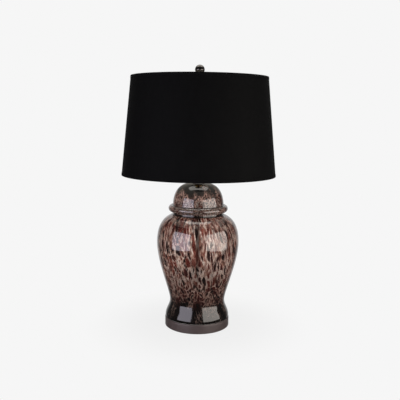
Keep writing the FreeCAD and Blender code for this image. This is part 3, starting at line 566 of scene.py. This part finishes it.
def jar_glass():
    """The blown jar with its thick floor, its rod hole and its open neck."""
    shoulder = jar_bottom + shoulder_height
    inner_shoulder = shoulder - jar_wall
    inner_neck = neck_radius - jar_wall
    inner_round = jar_wall - rim_edge_radius
    floor_top = jar_bottom + jar_floor
    inner_foot_r = foot_radius - jar_wall
    inner_foot_start = floor_top + floor_fillet
    outer = [(rod_hole_radius, jar_bottom), (foot_radius - foot_edge_radius, jar_bottom)]
    outer += quarter(outer[-1], (foot_radius, jar_bottom), (foot_radius, jar_bottom + foot_edge_radius))
    foot_run = run_length(outer)
    side = jar_side(0, jar_bottom + foot_edge_radius)
    waist_run = foot_run + run_length(side[:curve_steps + 1])
    belly_run = foot_run + run_length(side[:3 * curve_steps + 1])
    outer += side[1:]
    outer += arc_through(*shoulder_round(neck_radius, neck_fillet, shoulder), fine_curve_steps)
    outer.append((neck_radius, jar_rim - rim_edge_radius))
    outer += quarter(outer[-1], (neck_radius, jar_rim), (neck_radius - rim_edge_radius, jar_rim))
    inner = [(inner_neck + rim_edge_radius, jar_rim)]
    inner += quarter(inner[-1], (inner_neck, jar_rim), (inner_neck, jar_rim - rim_edge_radius))
    inner_side = jar_side(jar_wall, inner_foot_start)
    inner_run = inner_side[-1][0] - shoulder_round(inner_neck, inner_round, inner_shoulder)[0][0]
    inner_rise = inner_run * math.tan(shoulder_slope)
    inner_arc = shoulder_round(inner_neck, inner_round, inner_shoulder + inner_rise)
    inner.append(inner_arc[-1])
    inner += arc_through(*inner_arc[::-1], fine_curve_steps)
    inner += inner_side[::-1]
    inner += quarter(inner[-1], (inner_foot_r, floor_top), (inner_foot_r - floor_fillet, floor_top))
    inner.append((rod_hole_radius, floor_top))
    piece = turned("jar_glass", outer, inner)
    rim_run = run_length(outer)
    neck_run = foot_run + run_length(side)
    # Levels between the waist and the belly at which the pattern changes
    middle_run = 0.65 * waist_run + 0.35 * belly_run
    upper_run = 0.5 * middle_run + 0.5 * belly_run
    paces = [
        (middle_run, cell_width / short_cell_length),
        (belly_run, cell_width / cell_length),
        (rim_run, cell_width / long_cell_length),
    ]
    veins = [
        (0.0, 0.0),
        (0.5 * waist_run, 0.0),
        (waist_run, 0.17),
        (middle_run, 0.25),
        (belly_run, 0.26),
        (rim_run, 0.24),
    ]
    veils = [
        (0.0, 1.0),
        (0.3 * foot_run + 0.7 * waist_run, 1.0),
        (waist_run, 0.9),
        (middle_run, 0.4),
        (upper_run, 0.0),
        (belly_run, 0.0),
        (neck_run, 0.08),
        (rim_run, 0.3),
    ]
    # Painted shade in a ring under the lid's lip, above the shoulder
    shaded_folds = [(neck_run + neck_shade_rise, neck_shade_half_width)]
    glass = tortoise_glass(
        "cased_tortoise_glass", cell_width, jar_pattern_start, paces, veins, fine_share=0.12,
        veils=veils, side_shade=jar_side_shade, dimming=0.7, dim="#b8998c", deep="#0a0605", shaded_folds=shaded_folds)
    finishes = [glass, clear_glass("clear_casing")]
    return settle(piece, "stand", "tortoise_glass", finishes, "jar_body")


def dome_side(inset, start):
    """The lid's dome from its foot to the flat middle, drawn inset from its outer face."""
    foot_r = dome_radius - inset
    top = lid_top - inset
    rise = lid_top - lid_ledge - inset
    first, last = dome_handle_shares
    poles = [
        (foot_r, start),
        (foot_r, start + first * rise),
        (lid_top_radius + last * (foot_r - lid_top_radius), top),
        (lid_top_radius, top),
    ]
    return poles[:1] + bezier(poles, 2 * curve_steps)


def lid_glass():
    """The blown lid: a dome over a ledge, and a rolled lip that hangs round the jar's neck."""
    crease = lid_ledge + lid_wall
    lip_inner_r = neck_radius + lip_gap
    lip_outer_r = lip_inner_r + lip_edge_width
    crease_r = dome_radius + crease_step
    widest = lid_lip_edge + lip_widest_share * (crease - lid_lip_edge)
    outer = [(lip_inner_r, lid_lip_edge), (lip_outer_r, lid_lip_edge)]
    outer += arc_through(outer[-1], (lip_widest_radius, widest), (crease_r, crease))
    crease_run = run_length(outer)
    outer += quarter(outer[-1], (dome_radius, crease), (dome_radius, crease + crease_step))
    outer += dome_side(0, crease + crease_step)[1:]
    outer.append((rod_hole_radius, lid_top))
    inner = [(rod_hole_radius, lid_top - lid_wall)]
    inner += dome_side(lid_wall, lid_ledge)[::-1]
    inner.append((lip_inner_r, lid_ledge))
    inner_widest = (lip_widest_radius - lid_wall, (lid_lip_edge + lid_ledge) / 2)
    inner += arc_through(inner[-1], inner_widest, (lip_inner_r, lid_lip_edge))[:-1]
    piece = turned("lid_glass", outer, inner)
    lid_run = run_length(outer)
    dome_run = lid_run - crease_run
    paces = [(crease_run, lip_pace), (lid_run, lid_cell_width / lid_cell_length)]
    veins = [
        (0.0, 0.24),
        (crease_run, 0.22),
        (crease_run + 0.3 * dome_run, 0.2),
        (crease_run + 0.5 * dome_run, 0.06),
        (lid_run, 0.04),
    ]
    veils = [
        (0.0, 0.05),
        (crease_run, 0.05),
        (crease_run + 0.12 * dome_run, 0.2),
        (crease_run + 0.28 * dome_run, 0.85),
        (crease_run + 0.4 * dome_run, 1.0),
        (lid_run, 1.0),
    ]
    # Painted shade under the lip and in the crease above it
    shaded_folds = [(0.0, lip_shade_half_width), (crease_run, crease_shade_half_width)]
    glass = tortoise_glass(
        "cased_tortoise_lid", lid_cell_width, lid_pattern_start, paces, veins, fine_share=0.05,
        veils=veils, side_shade=lid_side_shade, dimming=0.3, dim="#e4b4a4", deep="#0d0606", shaded_folds=shaded_folds)
    finishes = [glass, clear_glass("clear_lid_casing")]
    return settle(piece, "stand", "tortoise_glass", finishes, "jar_lid")


# Shade: cloth laminated to a stiff lining, with its edges rolled over wire rings

shade_low, shade_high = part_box("shade_fabric")
shade_bottom_radius = shade_high.x
shade_top_radius = 189.5 * mm
shade_height = shade_high.z - shade_low.z
cloth_thickness = 0.6 * mm
lining_thickness = 0.5 * mm
trim_thickness = 0.5 * mm
trim_height = 7.0 * mm
trim_round = 0.4 * mm
seam_width = 10.0 * mm
seam_thickness = 0.5 * mm
tab_width = 12.0 * mm           # lap of the rolled edges over their own start
tape_cut_share = 0.6            # of the tape's thickness, left at its cut edge
narrow_steps = 6                # how finely the narrow seam and laps are divided
shade_back = math.pi / 2
thread_spacing = 0.6 * mm
thread_height = 0.06 * mm
slub_length = 45.0 * mm
slub_width = 1.6 * mm
slub_levels = (0.45, 0.75)      # levels of the slubs' noise, from none to a whole one, in the colour
slub_rise_levels = (0.4, 0.8)   # and in the relief
cotton_specular = 0.09          # little gloss, as loose fibres break it up
wave_period = 0.314             # length of one wave of Blender's Wave texture at scale 1


def shade_radius(height):
    """How far the cloth's outer face stands from the axis at a height."""
    rise = (height - shade_low.z) / shade_height
    return shade_bottom_radius + rise * (shade_top_radius - shade_bottom_radius)


def black_cotton(name, light, dark, roughness):
    """Black cotton laminated flat on styrene: matt, near black, with fine threads and long thin slubs
    that catch a little light. The threads are at their real spacing; the slubs are drawn wider than a
    thread, as one thread is too fine to show."""
    made, tree = material(name)
    cloth = add(tree, "UVMap", uv_map="cloth")
    scale = wave_period / thread_spacing
    warp = add(tree, "TexWave", {"Vector": cloth, "Scale": scale}, bands_direction="X").outputs["Fac"]
    weft = add(tree, "TexWave", {"Vector": cloth, "Scale": scale}, bands_direction="Y").outputs["Fac"]
    weave = add(tree, "Math", (warp, weft), operation="MULTIPLY")
    slubs = 0.0
    for stretch in ((1 / slub_length, 1 / slub_width, 1.0), (1 / slub_width, 1 / slub_length, 1.0)):
        drawn = add(tree, "VectorMath", (cloth, stretch), operation="MULTIPLY")
        lengthwise = add(tree, "TexNoise", {"Vector": drawn, "Scale": 1.0, "Detail": 2.0})
        slubs = add(tree, "Math", (slubs, lengthwise), operation="MAXIMUM")
    shown = add(tree, "MapRange", (slubs, *slub_levels, 0.0, 1.0))
    tone = add(tree, "Mix", {0: shown, mix_a: colour(dark), mix_b: colour(light)}, data_type="RGBA")
    raised = add(tree, "MapRange", (slubs, *slub_rise_levels, 0.0, 1.0))
    height = add(tree, "Math", (weave, raised), operation="ADD")
    relief = add(tree, "Bump", {"Height": height, "Distance": thread_height, "Strength": 0.6})
    shader = add(tree, "BsdfPrincipled", {
        "Base Color": tone.outputs[mix_result],
        "Roughness": roughness,
        "Specular IOR Level": cotton_specular,
        "Normal": relief,
    })
    add(tree, "OutputMaterial", {"Surface": shader})
    return made


def white_styrene(name):
    """Calendered white styrene: a smooth, slightly warm sheet with a soft gloss."""
    return plain_finish(name, "#e6e3da", "#e0ddd4", 10.0 * mm, 0.45)


def wrapped(tool):
    """A map in metres: round the axis from the back, on the circle of the shade's bottom, and upwards."""
    layer = tool.loops.layers.uv.new("cloth")
    for face in tool.faces:
        centre = face.calc_center_median()
        middle = math.atan2(centre.x, centre.y)
        for loop in face.loops:
            angle = math.atan2(loop.vert.co.x, loop.vert.co.y)
            angle += full_turn * round((middle - angle) / full_turn)
            loop[layer].uv = (angle * shade_bottom_radius, loop.vert.co.z)


def band(name, outline, reach=math.pi, steps=round_steps):
    """A closed outline turned about the axis to both sides of the shade's back, with the map of its
    cloth."""
    tool = bmesh.new()
    verts = [tool.verts.new((radius, 0, height)) for radius, height in outline]
    edges = [tool.edges.new(pair) for pair in zip(verts, verts[1:] + verts[:1])]
    bmesh.ops.rotate(tool, verts=verts, matrix=Matrix.Rotation(shade_back - reach, 3, "Z"))
    whole = reach >= math.pi
    bmesh.ops.spin(tool, geom=verts + edges, axis=(0, 0, 1), cent=(0, 0, 0), angle=2 * reach,
                   steps=steps, use_merge=whole)
    bmesh.ops.remove_doubles(tool, verts=tool.verts, dist=merge_distance)
    if not whole:
        bmesh.ops.holes_fill(tool, edges=[edge for edge in tool.edges if edge.is_boundary])
    bmesh.ops.recalc_face_normals(tool, faces=tool.faces)
    wrapped(tool)
    return new_piece(name, tool)


def sloped(low, high, inner, outer):
    """A closed outline of a sheet on the shade's slope, between distances from the cloth's outer face."""
    return [
        (shade_radius(low) + outer, low),
        (shade_radius(high) + outer, high),
        (shade_radius(high) + inner, high),
        (shade_radius(low) + inner, low),
    ]


def rolled_edge(name, edge, ring_node, inward, lift=0.0, reach=math.pi, steps=round_steps):
    """A strip of cloth rolled over an edge of the shade and round its wire ring. Inward is 1 where the
    strip turns over a top edge and -1 over a bottom one, and lift is what it lies on."""
    ring_low, ring_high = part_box(ring_node)
    wire = (ring_high.z - ring_low.z) / 2
    channel = ring_high.x - 2 * wire
    leg = edge - inward * trim_height
    leg_r = shade_radius(leg)
    leg_end = edge - inward * 2 * wire
    outside = trim_thickness + lift
    web = edge + inward * outside
    top_r = shade_radius(edge) + outside
    inner_r = channel - outside
    outline = [
        (leg_r, leg),
        (leg_r + tape_cut_share * outside, leg),
        (leg_r + outside, leg + inward * trim_round),
        (top_r, web - inward * trim_round),
    ]
    outline += quarter(outline[-1], (top_r, web), (top_r - trim_round, web))
    outline.append((inner_r + trim_round, web))
    outline += quarter(outline[-1], (inner_r, web), (inner_r, web - inward * trim_round))
    outline += [(inner_r, leg_end), (channel, leg_end), (channel, edge), (shade_radius(edge), edge)]
    return band(name, outline, reach, steps)


def shade():
    """The shade's cloth, its lining, the seam of each at the back and the two rolled edges."""
    cloth_finish = black_cotton("laminated_black_cotton", "#09090a", "#040405", 0.75)
    tape_finish = black_cotton("rolled_black_cotton_tape", "#0b0b0c", "#050506", 0.8)
    lining_finish = white_styrene("smooth_white_styrene")
    low, high = shade_low.z, shade_high.z
    seam_low, seam_high = low + trim_height, high - trim_height
    seam_reach = seam_width / 2 / shade_bottom_radius
    tab_reach = tab_width / 2 / shade_top_radius
    inside = -cloth_thickness - lining_thickness
    cloth = band("shade_cloth", sloped(low, high, -cloth_thickness, 0))
    settle(cloth, "shade", "black_cloth", [cloth_finish], "shade_fabric")
    seam = band("shade_seam", sloped(seam_low, seam_high, 0, seam_thickness), seam_reach, narrow_steps)
    settle(seam, "shade", "black_cloth", [cloth_finish])
    lining = band("lining_sheet", sloped(low, high, inside, -cloth_thickness))
    settle(lining, "shade", "white_lining", [lining_finish], "shade_lining")
    lap = band("lining_lap", sloped(seam_low, seam_high, inside - lining_thickness, inside), seam_reach,
               narrow_steps)
    settle(lap, "shade", "white_lining", [lining_finish])
    edges = []
    for name, edge, ring, node, inward in (
        ("top_edge", high, "shade_top_ring", "shade_trim_top", 1),
        ("bottom_edge", low, "shade_bottom_ring", "shade_trim_bottom", -1),
    ):
        roll = rolled_edge(name + "_roll", edge, ring, inward)
        settle(roll, "shade", "black_tape", [tape_finish], node)
        tab = rolled_edge(name + "_lap", edge, ring, inward, trim_thickness, tab_reach, narrow_steps)
        settle(tab, "shade", "black_tape", [tape_finish])
        edges += [roll, tab]


# Metal, plastic and felt finishes of the CAD nodes that keep their shape

# Which finish each of them has
node_slots = {
    "felt_pad": "felt",
    "bottom_cover": "cover_steel",
    "cover_screws": "zinc_steel",
    "ballast_disc": "cast_iron",
    "plinth_shell": "bronze_paint",
    "cord_bushing": "phenolic",
    "bushing_nut": "zinc_steel",
    "rod_bottom_washer": "zinc_steel",
    "rod_bottom_nut": "zinc_steel",
    "rod": "rod_steel",
    "jar_gasket": "clear_gasket",
    "lid_gasket": "clear_gasket",
    "cap_gasket": "clear_gasket",
    "lid_cap": "black_metal",
    "lid_cap_nut": "zinc_steel",
    "neck_tube": "black_metal",
    "harp_saddle": "harp_metal",
    "saddle_washer": "zinc_steel",
    "harp_wire": "harp_metal",
    "harp_stud": "harp_metal",
    "ferrule_left": "harp_metal",
    "ferrule_right": "harp_metal",
    "socket_cap": "socket_brass",
    "socket_shell": "socket_brass",
    "socket_liner": "liner_board",
    "socket_body": "phenolic",
    "screw_shell": "bulb_metal",
    "centre_contact": "socket_brass",
    "terminal_screws": "socket_brass",
    "switch_stem": "socket_brass",
    "switch_knob": "phenolic",
    "bulb_contact": "bulb_metal",
    "bulb_insulator": "phenolic",
    "bulb_cap": "bulb_metal",
    "bulb_collar": "bulb_white",
    "bulb_globe": "bulb_opal",
    "shade_top_ring": "frame_wire",
    "shade_bottom_ring": "frame_wire",
    "shade_spider": "frame_wire",
    "finial_base": "black_nickel",
    "finial_ball": "black_nickel",
}


def finishes_of_nodes():
    """The finish of each remaining piece, by its slot in the record: two tones, the size of its grain
    and its roughness, after what it gives the eye."""
    return {
        # dull and fibrous, with no gloss
        "felt": plain_finish("pressed_felt", "#20211f", "#151615", 0.8 * mm, 0.95, bump=0.2 * mm),
        # dark and even, with a fine grain and a faint sheen
        "cover_steel": plain_finish("powder_coated_steel", "#232323", "#1b1b1b", 1.2 * mm, 0.55),
        # pale cool metal under a broad soft gloss
        "zinc_steel": plain_finish("zinc_plated_steel", "#b9b9b4", "#a5a6a3", 2.0 * mm, 0.35, metallic=1.0),
        # brown black and sandy, with shaded pits
        "cast_iron": plain_finish("sand_cast_iron", "#3b3835", "#2b2927", 1.5 * mm, 0.75, bump=0.3 * mm),
        # warm dark paint that carries wide soft reflections of the lamps
        "bronze_paint": plain_finish("satin_bronze_enamel", "#5a4b4a", "#544644", 3.0 * mm, 0.38,
                                     specular=1.0),
        # near black, with a soft sheen along its edges
        "black_metal": plain_finish("satin_black_enamel", "#101010", "#0b0b0b", 2.0 * mm, 0.4),
        # grey, its metal gloss half dulled by handling and thread
        "rod_steel": plain_finish("zinc_plated_pipe", "#8d8880", "#7b766f", 3.0 * mm, 0.35, metallic=0.5),
        # pale rubber with a soft sheen
        "clear_gasket": plain_finish("cast_silicone", "#c9c7c0", "#bdbbb4", 3.0 * mm, 0.5),
        # warm pale metal with long bright lights along the wire
        "harp_metal": plain_finish("nickel_plated_harp", "#b0aaa0", "#a09a90", 4.0 * mm, 0.25,
                                   metallic=1.0),
        # clear yellow metal
        "socket_brass": plain_finish("spun_brass", "#d8b25a", "#c9a24c", 5.0 * mm, 0.25, metallic=1.0),
        # dry brown board with no gloss
        "liner_board": plain_finish("pressed_fibre_board", "#b09068", "#9c7e58", 1.0 * mm, 0.85),
        # brown black plastic with small clear lights
        "phenolic": plain_finish("moulded_phenolic", "#1a1614", "#120f0e", 4.0 * mm, 0.3),
        # light thin metal with a broad gloss
        "bulb_metal": plain_finish("rolled_aluminium_cap", "#d2d2d2", "#c2c2c2", 3.0 * mm, 0.35,
                                   metallic=1.0),
        # smooth white with a soft clear light
        "bulb_white": plain_finish("moulded_white_plastic", "#e8e8e4", "#e2e2de", 6.0 * mm, 0.35),
        # whiter and softer, as it spreads the bulb's light
        "bulb_opal": plain_finish("opal_polycarbonate", "#f4f4f0", "#eeeeea", 8.0 * mm, 0.45),
        # pale metal, a little duller than the harp
        "frame_wire": plain_finish("plated_frame_wire", "#b0aaa0", "#a09a90", 4.0 * mm, 0.3, metallic=1.0),
        # a dark mirror that shows the lamps sharply
        "black_nickel": plain_finish("polished_black_nickel", "#64615f", "#5e5b59", 6.0 * mm, 0.06,
                                     spread=0.02, metallic=1.0, bump=0.002 * mm),
    }


def remaining_nodes():
    """Every other node keeps its shape, smooth-shaded, in its finish."""
    finishes = finishes_of_nodes()
    for body, nodes in frame["record"]["behaviour"]["bodies"].items():
        for node in nodes:
            if node in node_slots:
                slot = node_slots[node]
                settle(smoothed(node), body, slot, [finishes[slot]], node)


# Stage: floor, world, lamps and camera

paper_white = "#f6f6f6"
floor_radius = 5.0
floor_drop = 0.2 * mm
shadow_radius = 0.12            # within it the floor takes the lamp's shadow
plain_radius = 0.35             # beyond it the floor is plain backdrop colour
shadow_share = 0.12             # how much of the floor's light is the lamps' own, and can be shaded
room_through = 0.4              # what bent light sees of the room through glass
room_gloss = 0.05               # what gloss sees of the room behind the camera
backdrop_gloss = 0.6            # and of the lit backdrop behind the lamp
backdrop_start = 0.65           # how far a direction points backwards where the backdrop starts
backdrop_whole = 0.95           # and where it is whole
even_light = 0.5                # of the room on matt surfaces


def beyond_glass(tree, way):
    """How bright bent light sees its surroundings in a direction: the backdrop, and the dim room."""
    parts = add(tree, "SeparateXYZ", (way,))
    return add(tree, "MapRange", (parts.outputs["Y"], 0.0, backdrop_whole, room_through, 1.0))


def floor():
    """White paper that meets the backdrop unseen and takes only the lamp's soft shadow near its foot."""
    tool = bmesh.new()
    bmesh.ops.create_circle(tool, cap_ends=True, segments=round_steps, radius=floor_radius)
    bmesh.ops.translate(tool, verts=tool.verts, vec=(0, 0, -floor_drop))
    piece = new_piece("floor", tool)
    made, tree = material("matt_white_paper")
    places = add(tree, "TexCoord").outputs["Object"]
    reach = add(tree, "VectorMath", (places,), operation="LENGTH").outputs["Value"]
    far = add(tree, "MapRange", (reach, shadow_radius, plain_radius, 1 - shadow_share, 1.0),
              interpolation_type="SMOOTHSTEP")
    rays = add(tree, "LightPath")
    seen = add(tree, "Math", (rays.outputs["Is Camera Ray"], rays.outputs["Is Transmission Ray"]),
               operation="MAXIMUM")
    plain = add(tree, "Math", (far, seen), operation="MULTIPLY")
    paper = add(tree, "BsdfDiffuse", {"Color": colour(paper_white)})
    way = add(tree, "VectorMath", (places,), operation="NORMALIZE")
    level = add(tree, "Math", (rays.outputs["Is Camera Ray"], beyond_glass(tree, way)), operation="MAXIMUM")
    glow = add(tree, "Emission", {"Color": colour(paper_white), "Strength": level})
    blend = add(tree, "MixShader", (plain, paper, glow))
    add(tree, "OutputMaterial", {"Surface": blend})
    piece.data.materials.append(made)
    piece.visible_glossy = False


def world():
    """White to the camera, a bright backdrop behind and a dim room in front to gloss and through
    glass, and an even level to everything else."""
    made = bpy.data.worlds.new("studio")
    made.use_nodes = True
    tree = made.node_tree
    tree.nodes.clear()
    rays = add(tree, "LightPath")
    places = add(tree, "TexCoord").outputs["Generated"]
    parts = add(tree, "SeparateXYZ", (places,))
    behind = add(tree, "MapRange", (parts.outputs["Y"], backdrop_start, backdrop_whole, room_gloss,
                                    backdrop_gloss), interpolation_type="SMOOTHSTEP")
    shown = add(tree, "Background", {"Color": colour("#ffffff"), "Strength": even_light})
    for ray, strength in (
        ("Is Glossy Ray", behind),
        ("Is Transmission Ray", beyond_glass(tree, places)),
        ("Is Camera Ray", 1.0),
    ):
        backdrop = add(tree, "Background", {"Color": colour(paper_white), "Strength": strength})
        shown = add(tree, "MixShader", (rays.outputs[ray], shown, backdrop))
    add(tree, "OutputWorld", {"Surface": shown})
    bpy.context.scene.world = made


# Softboxes. Those that light the lamp and those mirrored in its gloss stand at different distances,
# so that no two lie in one plane.
box_height = 0.93               # of those at the sides
box_level = 0.385               # of their middles
side_boxes = (                  # side, angle from the front, width and tint
    ("left", math.radians(-46), 1.15, "#efe9f6"),
    ("right", math.radians(54), 1.5, "#fff8f0"),
)
box_kinds = (                   # kind, distance from the axis, brightness, and whether gloss sees it
    ("lighting", 1.25, 0.95, False),
    ("mirrored", 1.2, 2.6, True),
)
top_box_place = (0, 0.3, 1.6)
top_box_size = (1.6, 1.0)
top_box_strength = 2.0
top_box_tint = "#fffaf2"


def softbox(name, place, facing, size, strength, tint, gloss):
    """A large soft lamp, turned away from a direction, that either lights surfaces or is mirrored in
    their gloss. Strength is its brightness beside white."""
    width, height = size
    lamp = bpy.data.lights.new(name, "AREA")
    lamp.shape = "RECTANGLE"
    lamp.size = width
    lamp.size_y = height
    lamp.energy = strength * width * height * math.pi
    lamp.color = colour(tint)[:3]
    holder = bpy.data.objects.new(name, lamp)
    bpy.context.scene.collection.objects.link(holder)
    holder.location = place
    holder.rotation_euler = facing.to_track_quat("Z", "Y").to_euler()
    holder.visible_camera = False
    holder.visible_transmission = False
    holder.visible_diffuse = not gloss
    holder.visible_glossy = gloss


def softboxes():
    """The lamps to both sides of the table lamp, and the one above and behind it."""
    for kind, distance, strength, gloss in box_kinds:
        for side, angle, width, tint in side_boxes:
            away = Vector((math.sin(angle), -math.cos(angle), 0))
            place = distance * away + Vector((0, 0, box_level))
            softbox(kind + "_" + side + "_softbox", place, away, (width, box_height), strength, tint, gloss)
    softbox("mirrored_top_softbox", top_box_place, Vector((0, 0, 1)), top_box_size, top_box_strength,
            top_box_tint, True)


def camera():
    """The camera that took the photo, before the lamp and a little above its middle."""
    lens = bpy.data.cameras.new("camera")
    lens.sensor_width = sensor_mm
    lens.lens = lens_mm
    holder = bpy.data.objects.new("camera", lens)
    bpy.context.scene.collection.objects.link(holder)
    place = Matrix.Translation((camera_side, -camera_distance, camera_height))
    tilt = Matrix.Rotation(math.pi / 2 - camera_pitch, 4, "X")
    roll = Matrix.Rotation(camera_roll, 4, "Z")
    holder.matrix_world = place @ tilt @ roll
    bpy.context.scene.camera = holder


jar_glass()
lid_glass()
shade()
remaining_nodes()
floor()
world()
softboxes()
camera()
bpy.context.scene.view_settings.view_transform = "Standard"
